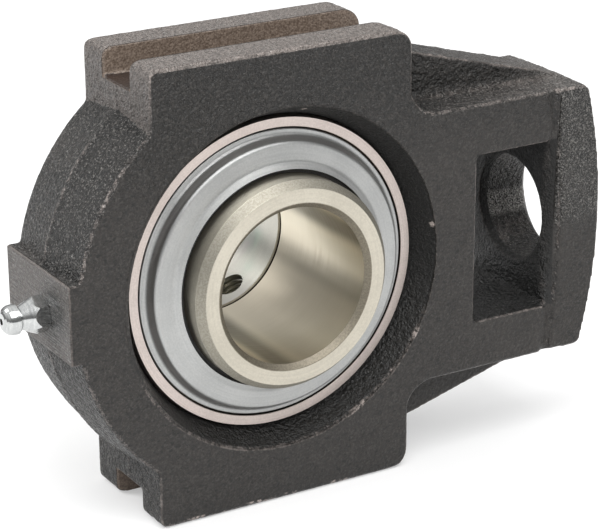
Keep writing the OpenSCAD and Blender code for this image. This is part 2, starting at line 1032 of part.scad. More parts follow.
module collar_set_screw() {
    color("DimGray")
        at_set_screw()
            translate([0, 0, screw_tip])
                difference() {
                    rotate_extrude()
                        polygon([
                            [0, screw_break],
                            [screw_r * 0.5, 0],
                            [screw_r - screw_break, 0],
                            [screw_r, screw_break],
                            [screw_r, screw_l - screw_break],
                            [screw_r - screw_break, screw_l],
                            [0, screw_l]
                        ]);
                    for (depth = [screw_pitch:screw_pitch:screw_l - screw_pitch / 2])
                        translate([0, 0, depth])
                            rotate_extrude()
                                polygon([
                                    [screw_r - thread_d, 0],
                                    [screw_r + eps, -thread_d],
                                    [screw_r + eps, thread_d]
                                ]);
                    translate([0, 0, screw_l - socket_l])
                        cylinder(d = socket_af / cos(30), h = screw_l, $fn = 6);
                }
}

take_up_housing();
nipple_body();
nipple_check_ball();
nipple_spring();
outer_ring();
inner_ring();
ball(1);  // ball_1
ball(2);  // ball_2
ball(3);  // ball_3
ball(4);  // ball_4
ball(5);  // ball_5
ball(6);  // ball_6
ball(7);  // ball_7
ball(8);  // ball_8
ball(9);  // ball_9
cage_front_half();
cage_rear_half();
cage_rivets();
front_shield();
front_seal_lip();
rear_shield();
rear_seal_lip();
locking_collar();
collar_set_screw();
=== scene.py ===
"""Looks of the tensioner bearing: a rough painted casting, ground bearing rings, zinc-plated sheet and a nipple."""
import functools
import math
from types import SimpleNamespace

import bmesh
import bpy
from mathutils import Matrix, Vector


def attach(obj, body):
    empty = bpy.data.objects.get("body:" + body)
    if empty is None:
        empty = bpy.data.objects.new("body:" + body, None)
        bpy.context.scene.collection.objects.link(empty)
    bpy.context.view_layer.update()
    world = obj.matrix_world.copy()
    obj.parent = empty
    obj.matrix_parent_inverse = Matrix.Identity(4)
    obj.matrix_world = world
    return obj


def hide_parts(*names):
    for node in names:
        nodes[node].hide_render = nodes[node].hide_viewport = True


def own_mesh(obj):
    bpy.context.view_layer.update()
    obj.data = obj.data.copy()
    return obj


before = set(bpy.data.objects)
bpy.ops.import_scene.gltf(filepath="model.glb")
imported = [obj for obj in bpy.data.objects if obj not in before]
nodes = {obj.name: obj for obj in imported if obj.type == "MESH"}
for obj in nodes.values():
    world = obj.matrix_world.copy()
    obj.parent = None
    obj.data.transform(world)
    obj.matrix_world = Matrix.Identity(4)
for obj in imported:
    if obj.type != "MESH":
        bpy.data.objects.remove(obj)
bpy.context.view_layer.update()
scene = bpy.context.scene

# Camera, in the photograph's frame: place in metres, angles in radians, focal length and centre in pixels
PHOTO_W, PHOTO_H = 600, 529
CAM_POS = (-0.239695, -0.425072, 0.183263)
CAM_AZ, CAM_EL, CAM_ROLL = -0.529, 0.378, -0.00658
CAM_FOCAL = 2389.18
CAM_CENTRE = (286.598, 304.744)
SENSOR_W = 36.0
CLIP_START = 0.01

# The room: the direction in which it is bright, the span of its gradient and its levels below and above
ROOM_BRIGHT_SIDE = (-0.1, 0.1, 0.99)
ROOM_SPAN = (0.10, 0.90)
ROOM_LEVELS = (0.24, 1.0)
WHITE = (1.0, 1.0, 1.0)

# Lamps: name, place, side in metres and power in watts
LAMPS = (("key_above_camera", (-0.04, -0.46, 0.72), 0.70, 6.0),
         ("back_left", (-0.50, 0.42, 0.58), 0.30, 3.5))

# The floor: height, half its side, colour, roughness and the glow that makes it white to the camera
FLOOR_Z, FLOOR_HALF = -0.0511, 3.0
FLOOR_COLOUR, FLOOR_ROUGH, FLOOR_GLOW = (0.62, 0.62, 0.62), 0.9, 0.38

# Sizes on the part, in metres
SLOT_FLOOR_Z = 0.045
SLOT_HALF_W = 0.006
SEAT_R = 0.0361
RECESS_R = 0.0384
POCKET_X, POCKET_HALF_W, POCKET_HALF_H = 0.05985, 0.01095, 0.0197
PAD_X = -0.051
SHIELD_SEAT_R = 0.03252
INNER_R = 0.0234
BORE_R = 0.0175
HOLE_R = 0.0123
INNER_BACK = 0.0176

# The casting's skin: mesh sizes, passes of smoothing, and the margins within which a surface counts as milled
VOXEL, WELD_DIST = 0.0005, 1e-6
SMOOTH_FACTOR, SOFTEN_PASSES, BLUNT_PASSES = 0.5, 2, 24
SLOT_MARGIN, PAD_MARGIN, SEAT_MARGIN = 0.0004, 0.0003, 0.0006
# Sand texture: name, grain and height of each layer, its depth, and its share where the normal's Y is over FACE_TILT
SAND = (("sand_coarse", 0.0030, 0.00030), ("sand_fine", 0.0010, 0.00032))
SAND_DEPTH, SAND_MIDDLE = 2, 0.5
FACE_SAND, FACE_TILT = 0.35, 0.25
# The band's blunt edge, the ridge on the parting line, and the recess's mouth, whose left edge lies further in
BAND_EDGE_X, BAND_EDGE_Y = (0.0680, 0.0745), 0.0126
SEAM_HALF_W, SEAM_H, SEAM_END_X = 0.0008, 0.00022, -0.005
MOUTH_START, MOUTH_DEPTH, MOUTH_FADE, MOUTH_SHIFT = -0.008, 0.0068, (0.0389, 0.0420), 0.0008

# Colours of the casting
PAINT_DARK = (0.0178, 0.0158, 0.0142)
PAINT_LIGHT = (0.0370, 0.0328, 0.0295)
PAINT_BROWN = (0.070, 0.062, 0.056)
# The dark tone of thin paint, also used as painted light on the arm's upward faces
THIN_DARK_AND_LIT_TOP = (0.12, 0.105, 0.096)
PAINT_THIN = (0.225, 0.195, 0.178)
# Pale specks painted as glints on the rough paint
PAINT_GLINT = (0.24, 0.23, 0.215)
# The darkest paint, in pits and deep grain, is also the colour of the painted shade in corners, the recess and the
# pocket
DEEP_PAINT_AND_SHADE = (0.008, 0.008, 0.0075)
# Worn, bare paint on edges, also used for the highlights painted along edges
WORN_EDGE_AND_HIGHLIGHT = (0.58, 0.50, 0.46)
# A pale grey painted as light falling on the back wall of the screw hole
PAINTED_LIGHT_PATCH = (0.40, 0.385, 0.36)
BARE_DARK = (0.13, 0.095, 0.072)
BARE_LIGHT = (0.25, 0.195, 0.155)
# The slot floors' bare iron, darker with painted shade
SHADED_SLOT_FLOOR = (0.030, 0.018, 0.013)

# Ranges of a mask: where it is 0, where it is 1, and its two levels if they are others.
# Places on the casting, in metres along the axis or radius that the name ends with
HOLE_WALL_R = (HOLE_R + 0.0006, HOLE_R + 0.0003)
HOLE_X = (0.0689, 0.0692)
BAND_X, BAND_Z = (0.0708, 0.0716), (-0.004, 0.004)
ROUGHER_Z = (0.018, 0.042, 0.0, 0.6)
PAD_FACE_X = (-0.0504, -0.0507)
RAIL_TOP_Z, RAIL_END_Z = (0.0445, 0.0465), (0.033, 0.037)
ARM_X, ARM_TOP_Z = (0.030, 0.068), (0.021, 0.024)
# Across the parting line the brown rust goes from weaker on the front half, which is painted shade, to full on the
# back half
FRONT_TO_BACK_Y = (-0.001, 0.001)
SLOT_Y = (SLOT_HALF_W + 0.0005, SLOT_HALF_W + 0.0002)
SLOT_Z = (SLOT_FLOOR_Z - 0.0005, SLOT_FLOOR_Z - 0.0002)
POCKET_EDGE = (0.0004, 0.0001)
POCKET_INSIDE_Y = (-0.0142, -0.0132)
MOUTH_R = (RECESS_R + 0.0002, RECESS_R - 0.0002)
PAST_RECESS_R = (RECESS_R - 0.0001, RECESS_R + 0.0003)
# Centre and reach of the stain by the nipple, which is also the nipple's painted shadow
OIL_SHADOW_Y, OIL_SHADOW_Z, OIL_SHADOW_R = -0.0076, 0.0006, (0.0088, 0.0030, 0.0, 0.95)
# Where the patch of painted light lies on the screw hole's back wall
LIT_PATCH_MIDDLE_Z, LIT_PATCH_HALF_Z, LIT_PATCH_X = -0.0034, (0.0034, 0.0018), (0.0708, 0.0714)
# Where the painted shade fades out towards the left of the part, along X leaned by Z
SHADE_LEAN, SHADE_START_X = -0.4, (-0.036, -0.030)
SEAM_Y, SEAM_X, SEAM_Z = (0.0006, 0.0002), (0.0, -0.01), (0.034, 0.032)
FACE_EDGE_Y = (0.0115, 0.0135, 0.4, 1.0)
BRINK_HALF_R, BRINK_Z, BRINK_Y = (0.0005, 0.0002), (-0.012, -0.020), (-0.0138, -0.0142)
BRINK_FLAKES_X = (0.010, 0.022, 0.25, 0.8)
FOOT_Z = (-0.0497, -0.0501)
PAST_PAD_X = (-0.0505, -0.0490, 0.25, 1.0)
DULL_Z = (-0.02, 0.0, 0.45, 0.9)

# Slopes, by the part of the normal along an axis, and the sharpness of edges
FACE_SLOPE, OFF_FACE = (0.7, 0.95), (0.6, 0.1)
LEFT_SLOPE, LEFT_THIN = (-0.85, -0.95), (-0.6, -0.9, 1.0, 0.72)
TOP_SLOPE, TOP_BROWN = (0.5, 0.9), (-0.2, 0.9, 0.1, 0.5)
SLOT_FLOOR_SLOPE = (0.5, 0.8)
RIM_SLOPE_LOW, RIM_SLOPE_HIGH = (0.35, 0.50), (0.85, 0.70)
SHARP, FAIRLY_SHARP = (0.53, 0.57), (0.525, 0.565)

# Noise, as scale, detail and roughness, and the ranges of it that show
FINE, MID, SPECKS = (2300.0, 1.0, 0.6), (1000.0, 2.0, 0.55), (3200.0, 1.0, 0.6)
FINE_SHARE = 0.55
SMOOTH_TONE, ROUGH_TONE, THIN_TONE, ARM_TONE = (0.38, 0.62), (0.47, 0.65), (0.38, 0.56), (0.38, 0.60, 0.15, 0.75)
GLINTS, GLINTS_OFF_FACE, BAND_GLINTS = (0.57, 0.67), (0.3, 0.7, 0.62, 0.08), (0.50, 0.62, 0.0, 0.55)
LIT_PATCH_SPECKS = (0.40, 0.62)
MILLING, MILLING_Y, MILLING_Z = (1.0, 3.0, 0.6), 40.0, 2600.0
MILLING_CUTS = (0.44, 0.34, 0.0, 0.7)
MARKS = {
    "pits": ((950.0, 2.0, 0.6), (0.57, 0.65, 0.0, 0.85)),
    "brown": ((45.0, 3.0, 0.6), (0.42, 0.65)),
    "chips": ((800.0, 5.0, 0.7), (0.50, 0.58)),
    "chipped_areas": ((80.0, 2.0, 0.55), (0.48, 0.60)),
    "flakes": ((1100.0, 4.0, 0.7), (0.44, 0.54, 0.0, 0.85)),
    "flaked_areas": ((170.0, 2.0, 0.55), (0.54, 0.60)),
    "seam": ((600.0, 3.0, 0.65), (0.42, 0.62, 0.0, 0.26)),
    "faint": ((260.0, 3.0, 0.55), (0.35, 0.65, 0.10, 0.50)),
    "rim": ((700.0, 3.0, 0.65), (0.42, 0.64, 0.02, 0.26)),
    "brink": ((1500.0, 3.0, 0.65), (0.45, 0.62, 0.0, 0.20)),
    "bare": ((2600.0, 3.0, 0.65), (0.40, 0.60)),
    "grains": ((2600.0, 3.0, 0.7), (0.30, 0.70)),
    "tint": ((110.0, 2.0, 0.55), (0.40, 0.60)),
    "tinted_areas": ((70.0, 2.0, 0.55), (0.35, 0.70, 0.0, 0.7)),
}

# Strengths in the casting's paint
THIN_ON_RAIL_END, THIN_ON_PAD = 0.8, 0.6
# The brown rust on the front half: weak on the body as painted shade, and strong along the arm as painted light on its
# top
BROWN_ALONG_ARM = (0.3, 1.6)
# Painted shade: its strength in the recess's mouth and in the pocket, and the reach, samples and range of the
# occlusion that paints shade into corners
MOUTH_SHADE, POCKET_SHADE = 0.88, 0.85
SHADE_REACH, SHADE_SAMPLES, SHADE_RANGE = 0.014, 8, (0.25, 0.80, 0.75, 0.0)
RIM_FLAKES = 0.45
PAINT_GLOSS, ROUGH_GLOSS = (0.35, 0.65, 0.40, 0.60), 0.10
FINE_BUMP, FACE_BUMP, ROUGH_BUMP, MILLING_BUMP = 0.5, 0.22, 0.78, 0.5
SLOT_EVEN, MOUTH_EVEN = 0.8, 0.6
PAINT_BUMP_DEPTH, PAINT_BUMP = 0.0019, 0.9

# Metals: light and dark colour, and roughness
METALS = {
    "ring_steel": ((0.655, 0.575, 0.535), (0.525, 0.46, 0.425), 0.38),
    "ground_steel": ((0.62, 0.58, 0.49), (0.51, 0.475, 0.40), 0.36),
    "zinc_sheet": ((0.53, 0.535, 0.525), (0.43, 0.435, 0.43), 0.46),
    "zinc_collar": ((0.54, 0.525, 0.465), (0.48, 0.465, 0.415), 0.34),
    "bright_zinc": ((0.64, 0.65, 0.64), (0.48, 0.49, 0.49), 0.10),
    "cage_sheet": ((0.55, 0.52, 0.47), (0.42, 0.40, 0.36), 0.35),
    "ball_steel": ((0.70, 0.69, 0.67), (0.62, 0.61, 0.59), 0.12),
    "screw_steel": ((0.82, 0.80, 0.75), (0.62, 0.60, 0.56), 0.28),
}
# Turning marks, stains and grit on them: noise, marks per metre and per radian, shares of the tone, ranges and bump
TURNING, TURNING_LINES, TURNING_ROUND = (1.0, 4.0, 0.6), 2500.0, 1.5
STAIN, GRIT = (90.0, 3.0, 0.55), (2600.0, 2.0, 0.6)
TURNING_SHARE, STAIN_SHARE, GRIT_SHARE = 0.4, 0.3, 0.3
METAL_TONE, POLISH_RANGE = (0.38, 0.62), (0.3, 0.7)
POLISHED, WORN_POLISH = 0.05, 0.07
TURNING_DEPTH, FAINT_DEPTH, TURNING_BUMP = 0.000012, 0.000003, 0.5

# The rings and the collar: places, as ranges in metres, and colours
# A dark colour: painted shade in the gap round the shield's seat, and dark bands at the meeting ends of the inner ring
# and the collar
DARK_LINE = (0.022, 0.016, 0.011)
SHIELD_GAP_SHADE_R = (SHIELD_SEAT_R + 0.00012, SHIELD_SEAT_R + 0.00006)
RING_END_DARK_Y = (INNER_BACK - 0.0006, INNER_BACK - 0.0003)
COLLAR_END_DARK_Y = (INNER_BACK + 0.0007, INNER_BACK + 0.0005)
CHAMFER_R, CHAMFER_Y = (INNER_R - 0.0017, INNER_R - 0.0014), (-0.0174, -0.0176)
CHAMFER_DARK, CHAMFER_LIGHT = (0.33, 0.31, 0.26), (0.46, 0.435, 0.37)
LIP_R, LIP_Y = (BORE_R + 0.0014, BORE_R + 0.0012), (-0.0182, -0.0183)
LIP_DARK, LIP_LIGHT = (0.20, 0.18, 0.14), (0.30, 0.27, 0.215)
EDGE_ROUGH = 0.56
BORE_WALL_R = (BORE_R + 0.0004, BORE_R + 0.0002)
BORE_DARK, BORE_LIGHT = (0.50, 0.45, 0.36), (0.75, 0.685, 0.55)
STREAKS, STREAKS_ACROSS, STREAKS_ALONG = (1.0, 1.0, 0.5), 95.0, 8.0
STREAK_RANGE, REFLECTION_IN_STREAKS = (0.30, 0.70), (0.25, 0.6, 0.7, 1.0)
# Dark bands along the bore, painted as reflections: angle round it and half width in radians, and strength, with the
# part at full strength
REFLECTION_BANDS = ((0.52, 0.32, 0.85), (-0.31, 0.24, 0.5), (-1.76, 0.30, 0.85))
REFLECTION_CORE, BORE_REFLECTION_DARK = 0.2, (0.19, 0.170, 0.132)
ZINC_VIOLET, ZINC_GREEN = (0.46, 0.44, 0.43), (0.41, 0.50, 0.42)

# Rubber
RUBBER_DARK, RUBBER_LIGHT = (0.012, 0.012, 0.012), (0.028, 0.027, 0.026)
RUBBER_SPOTS, RUBBER_ROUGH = (1500.0, 3.0), (0.3, 0.7, 0.55, 0.75)
RUBBER_DEPTH, RUBBER_BUMP = 0.00004, 0.5


class Shader:
    """A material's node tree, with short calls for the nodes used here."""

    def __init__(self, name):
        self.mat = bpy.data.materials.new(name)
        self.mat.use_nodes = True
        self.tree = self.mat.node_tree
        self.bsdf = self.tree.nodes["Principled BSDF"]
        self.coord = None

    def add(self, kind, **settings):
        node = self.tree.nodes.new(kind)
        for key, value in settings.items():
            setattr(node, key, value)
        return node

    def link(self, value, socket):
        if isinstance(value, bpy.types.NodeSocket):
            self.tree.links.new(value, socket)
        else:
            socket.default_value = value

    def math(self, operation, a, b=0.0, clamp=False):
        node = self.add("ShaderNodeMath", operation=operation, use_clamp=clamp)
        self.link(a, node.inputs[0])
        self.link(b, node.inputs[1])
        return node.outputs[0]

    def times(self, *values):
        return functools.reduce(lambda a, b: self.math("MULTIPLY", a, b), values)

    def plus(self, *values):
        return functools.reduce(lambda a, b: self.math("ADD", a, b), values)

    def most(self, *values):
        return functools.reduce(lambda a, b: self.math("MAXIMUM", a, b), values)

    def invert(self, value):
        return self.math("SUBTRACT", 1.0, value)

    def away(self, value, middle=0.0):
        """Distance of a value from a middle one."""
        return self.math("ABSOLUTE", self.math("SUBTRACT", value, middle) if middle else value)

    def position(self):
        if self.coord is None:
            self.coord = self.add("ShaderNodeTexCoord").outputs["Object"]
        return self.coord

    def split(self, vector):
        node = self.add("ShaderNodeSeparateXYZ")
        self.link(vector, node.inputs[0])
        return node.outputs[0], node.outputs[1], node.outputs[2]

    def axes(self):
        return self.split(self.position())

    def normal_axes(self):
        return self.split(self.add("ShaderNodeNewGeometry").outputs["True Normal"])

    def vector(self, x, y, z):
        node = self.add("ShaderNodeCombineXYZ")
        for socket, value in zip(node.inputs, (x, y, z)):
            self.link(value, socket)
        return node.outputs[0]

    def length(self, x, y, z):
        node = self.add("ShaderNodeVectorMath", operation="LENGTH")
        self.link(self.vector(x, y, z), node.inputs[0])
        return node.outputs["Value"]

    def radius(self):
        """Distance from the bearing's axis."""
        x, _, z = self.axes()
        return self.length(x, 0.0, z)

    def ramp(self, value, low, high, to_low=0.0, to_high=1.0):
        node = self.add("ShaderNodeMapRange", interpolation_type="SMOOTHSTEP")
        for socket, number in zip(("Value", "From Min", "From Max", "To Min", "To Max"),
                                  (value, low, high, to_low, to_high)):
            self.link(number, node.inputs[socket])
        return node.outputs[0]

    def noise(self, scale, detail, rough=0.55, vector=None):
        node = self.add("ShaderNodeTexNoise")
        self.link(vector if vector is not None else self.position(), node.inputs["Vector"])
        node.inputs["Scale"].default_value = scale
        node.inputs["Detail"].default_value = detail
        node.inputs["Roughness"].default_value = rough
        return node.outputs[0]

    def mark(self, name):
        """The part of a noise that shows as marks of a kind."""
        grain, shown = MARKS[name]
        return self.ramp(self.noise(*grain), *shown)

    def mix(self, factor, a, b):
        node = self.add("ShaderNodeMix", data_type="RGBA")
        self.link(factor, node.inputs[0])
        for value, socket in ((a, node.inputs[6]), (b, node.inputs[7])):
            self.link((*value, 1.0) if isinstance(value, tuple) else value, socket)
        return node.outputs[2]

    def bump(self, height, distance, strength):
        node = self.add("ShaderNodeBump")
        node.inputs["Strength"].default_value = strength
        node.inputs["Distance"].default_value = distance
        self.link(height, node.inputs["Height"])
        return node.outputs[0]

    def set(self, **values):
        """Links or sets the surface's sockets, whose names are written with _ for a space."""
        for key, value in values.items():
            name = key.replace("_", " ")
            if isinstance(value, tuple):
                value = (*value, 1.0)
            self.link(value, self.bsdf.inputs[name])
        return self.mat

    def now(self, name):
        """What one of the surface's sockets is linked to."""
        return self.bsdf.inputs[name].links[0].from_socket


def inside_pocket(s, x, z):
    """1 within the nut pocket, seen from the front, and 0 beyond it."""
    none, full = POCKET_EDGE
    across = s.ramp(s.away(x, POCKET_X), POCKET_HALF_W + none, POCKET_HALF_W + full)
    return s.times(across, s.ramp(s.away(z), POCKET_HALF_H + none, POCKET_HALF_H + full))


def casting_zones(s):
    """The coordinates on the casting, and masks for its kinds of surface."""
    x, y, z = s.axes()
    nx, ny, nz = s.normal_axes()
    hole = s.times(s.ramp(s.length(0.0, y, z), *HOLE_WALL_R), s.ramp(x, *HOLE_X))
    band = s.times(s.ramp(x, *BAND_X), s.ramp(z, *BAND_Z))
    flat = s.times(s.ramp(s.away(ny), *FACE_SLOPE), s.invert(hole))
    pad = s.ramp(x, *PAD_FACE_X)
    rail = s.times(s.ramp(z, *RAIL_TOP_Z), s.ramp(flat, *OFF_FACE))
    rail_end = s.times(s.ramp(z, *RAIL_END_Z), s.ramp(nx, *LEFT_SLOPE))
    thin_coat = s.most(rail, s.times(rail_end, THIN_ON_RAIL_END), s.times(pad, THIN_ON_PAD))
    return SimpleNamespace(
        x=x, y=y, z=z, ny=ny, nz=nz, hole=hole, band=band, flat=flat, pad=pad,
        rough=s.most(s.invert(flat), band, s.ramp(z, *ROUGHER_Z)),
        thin_coat=s.times(thin_coat, s.ramp(nx, *LEFT_THIN)),
        arm_top=s.times(s.ramp(x, *ARM_X), s.ramp(nz, *TOP_SLOPE), s.ramp(z, *ARM_TOP_Z)),
        in_slot=s.times(s.ramp(s.away(y), *SLOT_Y), s.ramp(s.away(z), *SLOT_Z)),
        mouth=s.times(s.ramp(s.radius(), *MOUTH_R), MOUTH_SHADE),
        pocket=s.times(inside_pocket(s, x, z), POCKET_SHADE))


def casting_grain(s, zone):
    """The noises that the paint's colour, gloss and bump share."""
    fine, mid = s.noise(*FINE), s.noise(*MID)
    cutter = s.vector(0.0, s.times(zone.y, MILLING_Y), s.times(zone.z, MILLING_Z))
    return SimpleNamespace(
        fine=fine, mid=mid, specks=s.noise(*SPECKS), milling=s.noise(*MILLING, cutter),
        tone=s.plus(s.times(fine, FINE_SHARE), s.times(mid, 1.0 - FINE_SHARE)))


def paint_coat(s, zone, grain):
    """The paint's colour: darker where it is rough, thin on the rails and the pad, brown rust that also paints shade
    on the front half and light on the arm, a stain of old lubricant by the nipple that also holds the nipple's painted
    shadow, and painted glints.
    """
    smooth_paint = s.mix(s.ramp(grain.tone, *SMOOTH_TONE), PAINT_DARK, PAINT_LIGHT)
    rough_paint = s.mix(s.ramp(grain.tone, *ROUGH_TONE), DEEP_PAINT_AND_SHADE, PAINT_LIGHT)
    paint = s.mix(zone.rough, s.mix(s.mark("pits"), smooth_paint, DEEP_PAINT_AND_SHADE), rough_paint)
    # Brown rust on upward faces, kept weaker on the front half as painted shade and stronger along the arm as painted
    # light on its top
    in_front = s.ramp(zone.x, *ARM_X, *BROWN_ALONG_ARM)
    brown = s.times(s.mark("brown"), s.ramp(zone.nz, *TOP_BROWN))
    brown = s.math("MULTIPLY", brown, s.ramp(zone.y, *FRONT_TO_BACK_Y, in_front, 1.0), clamp=True)
    paint = s.mix(brown, paint, PAINT_BROWN)
    # Lighter speckles on the arm's upward faces: painted light falling from above
    paint = s.mix(s.times(zone.arm_top, s.ramp(grain.tone, *ARM_TONE)), paint, THIN_DARK_AND_LIT_TOP)

    thin = s.mix(s.ramp(grain.tone, *THIN_TONE), THIN_DARK_AND_LIT_TOP, PAINT_THIN)
    cuts = s.times(zone.pad, s.ramp(grain.milling, *MILLING_CUTS))
    # A stain of old lubricant on the pad by the nipple, made darker as the nipple's painted shadow
    from_oil_and_shadow = s.length(0.0, s.math("SUBTRACT", zone.y, OIL_SHADOW_Y), s.math("SUBTRACT", zone.z, OIL_SHADOW_Z))
    oil_and_shadow = s.times(zone.pad, s.ramp(from_oil_and_shadow, *OIL_SHADOW_R))
    thin = s.mix(oil_and_shadow, s.mix(cuts, thin, PAINT_DARK), DEEP_PAINT_AND_SHADE)
    paint = s.mix(s.most(zone.thin_coat, oil_and_shadow), paint, thin)

    # Painted glints: pale specks that stand in for highlights off the rough paint and the band
    off_face = s.ramp(s.math("SUBTRACT", zone.flat, zone.band), *GLINTS_OFF_FACE)
    on_band = s.times(zone.band, s.ramp(grain.specks, *BAND_GLINTS))
    glint = s.math("ADD", s.times(s.ramp(grain.fine, *GLINTS), off_face), on_band, clamp=True)
    return s.mix(glint, paint, PAINT_GLINT)


def painted_shade_mask(s, zone):
    """Painted shade: dark in corners, found by ambient occlusion, in the recess's mouth and in the pocket, but not at
    the left of the part.
    """
    shade = s.add("ShaderNodeAmbientOcclusion", samples=SHADE_SAMPLES)
    shade.inputs["Distance"].default_value = SHADE_REACH
    painted_shade = s.most(s.ramp(shade.outputs["AO"], *SHADE_RANGE), zone.mouth, zone.pocket)
    return s.times(painted_shade, s.ramp(s.plus(zone.x, s.times(zone.z, SHADE_LEAN)), *SHADE_START_X))


def wear_and_edge_highlights(s, zone):
    """Paint worn off edges, the parting line, the recess's lower edge and the foot of the housing, with a faint pale
    line painted as highlights along sharp edges and the rims of the faces.
    """
    point = s.add("ShaderNodeNewGeometry").outputs["Pointiness"]
    edge = s.times(s.ramp(point, *SHARP), s.mark("chips"), s.mark("chipped_areas"))
    # A faint pale line along fairly sharp edges is a painted highlight
    faint = s.times(s.ramp(point, *FAIRLY_SHARP), s.mark("faint"))
    seam = s.times(s.ramp(s.away(zone.y), *SEAM_Y), zone.rough, s.ramp(zone.x, *SEAM_X), s.ramp(zone.z, *SEAM_Z),
                   s.invert(zone.pad), s.mark("seam"))

    flaked = s.times(s.mark("flaked_areas"), s.mark("flakes"))
    turned_in = s.away(zone.ny)
    # Along the rims of the front and back faces: a painted highlight, with flakes of worn paint
    rim = s.times(s.ramp(turned_in, *RIM_SLOPE_LOW), s.ramp(turned_in, *RIM_SLOPE_HIGH),
                  s.ramp(s.radius(), *PAST_RECESS_R), s.ramp(s.away(zone.y), *FACE_EDGE_Y),
                  s.most(s.mark("rim"), s.times(flaked, RIM_FLAKES)))
    brink = s.times(s.ramp(s.away(s.radius(), RECESS_R), *BRINK_HALF_R),
                    s.ramp(zone.z, *BRINK_Z), s.ramp(zone.y, *BRINK_Y),
                    s.most(s.times(flaked, s.ramp(zone.x, *BRINK_FLAKES_X)), s.mark("brink")))
    foot = s.times(s.ramp(zone.z, *FOOT_Z), flaked)

    kept = s.invert(s.times(zone.pocket, s.ramp(zone.y, *POCKET_INSIDE_Y)))
    return s.times(s.most(faint, edge, rim, brink, foot, seam), kept, s.ramp(zone.x, *PAST_PAD_X))


def casting():
    """Dark paint on sand-cast iron: rough sides, smoother faces, worn edges, bare milled slots and a milled pad, with
    painted shade in hollows and on the slot floors, painted light in the screw hole, and painted highlights and
    glints.
    """
    s = Shader("cast_iron_paint")
    zone = casting_zones(s)
    grain = casting_grain(s, zone)
    painted_shade = painted_shade_mask(s, zone)
    # A speckled patch of painted light on the back wall of the screw hole
    lit_patch = s.times(zone.hole, s.ramp(s.away(zone.z, LIT_PATCH_MIDDLE_Z), *LIT_PATCH_HALF_Z), s.ramp(zone.x, *LIT_PATCH_X),
                     s.ramp(grain.specks, *LIT_PATCH_SPECKS))
    # Painted shade darkens the paint in corners, in the recess's mouth and in the pocket
    paint = s.mix(painted_shade, paint_coat(s, zone, grain), DEEP_PAINT_AND_SHADE)
    paint = s.mix(lit_patch, paint, PAINTED_LIGHT_PATCH)
    paint = s.mix(wear_and_edge_highlights(s, zone), paint, WORN_EDGE_AND_HIGHLIGHT)
    bare = s.mix(s.mark("bare"), BARE_DARK, BARE_LIGHT)
    # Upward faces in the slots are darker: painted shade on the slot floors
    bare = s.mix(s.ramp(s.away(zone.nz), *SLOT_FLOOR_SLOPE), bare, SHADED_SLOT_FLOOR)
    gloss = s.math("SUBTRACT", s.ramp(grain.mid, *PAINT_GLOSS), s.times(zone.rough, ROUGH_GLOSS))

    even = s.most(s.times(zone.in_slot, SLOT_EVEN), s.times(zone.mouth, MOUTH_EVEN))
    sand = s.times(s.plus(grain.mid, s.times(grain.fine, FINE_BUMP)),
                   s.plus(FACE_BUMP, s.times(zone.rough, ROUGH_BUMP)), s.invert(even))
    height = s.plus(s.times(sand, s.invert(zone.pad)), s.times(grain.milling, zone.pad, MILLING_BUMP))
    return s.set(Base_Color=s.mix(zone.in_slot, paint, bare),
                 Roughness=s.most(gloss, s.times(painted_shade, s.ramp(zone.z, *DULL_Z))),
                 Normal=s.bump(height, PAINT_BUMP_DEPTH, PAINT_BUMP))


def turned_metal(name, depth=TURNING_DEPTH, axis="Y"):
    """Metal with fine turning marks round the shaft, or round the nipple where the axis is X."""
    light, dark, rough = METALS[name]
    s = Shader(name)
    x, y, z = s.axes()
    if axis == "Y":
        reach, along, turn = s.times(s.radius(), TURNING_LINES), y, s.math("ARCTAN2", z, x)
    else:
        reach, along, turn = 0.0, x, s.math("ARCTAN2", z, y)
    lines = s.vector(reach, s.times(along, TURNING_LINES), s.times(turn, TURNING_ROUND))
    marks = s.noise(*TURNING, lines)
    tone = s.plus(s.times(marks, TURNING_SHARE),
                  s.plus(s.times(s.noise(*STAIN), STAIN_SHARE), s.times(s.noise(*GRIT), GRIT_SHARE)))
    s.set(Base_Color=s.mix(s.ramp(tone, *METAL_TONE), dark, light),
          Roughness=s.ramp(marks, *POLISH_RANGE, rough - POLISHED, rough + WORN_POLISH),
          Normal=s.bump(marks, depth, TURNING_BUMP),
          Metallic=1.0)
    return s


def darkened(s, mask, colour):
    """Lays a dark colour over a metal where the mask is 1."""
    return s.set(Base_Color=s.mix(mask, s.now("Base Color"), colour))


def outer_ring_steel():
    """Ground face with a dark line painted as shade in the gap where the shield is pressed in."""
    s = turned_metal("ring_steel")
    return darkened(s, s.ramp(s.radius(), *SHIELD_GAP_SHADE_R), DARK_LINE)


def bore_with_dark_reflections(s):
    """The bore's colour: lengthwise streaks, under a few broader dark bands painted as reflections."""
    x, y, z = s.axes()
    streaks = s.noise(*STREAKS, s.vector(s.times(x, STREAKS_ACROSS), s.times(y, STREAKS_ALONG),
                                         s.times(z, STREAKS_ACROSS)))
    bore = s.mix(s.ramp(streaks, *STREAK_RANGE), BORE_DARK, BORE_LIGHT)
    turn = s.math("ARCTAN2", z, x)
    dark_reflection = s.most(*(s.ramp(s.away(turn, angle), spread, REFLECTION_CORE * spread, 0.0, strength)
                    for angle, spread, strength in REFLECTION_BANDS))
    return s.mix(s.times(dark_reflection, s.ramp(streaks, *REFLECTION_IN_STREAKS)), bore, BORE_REFLECTION_DARK)


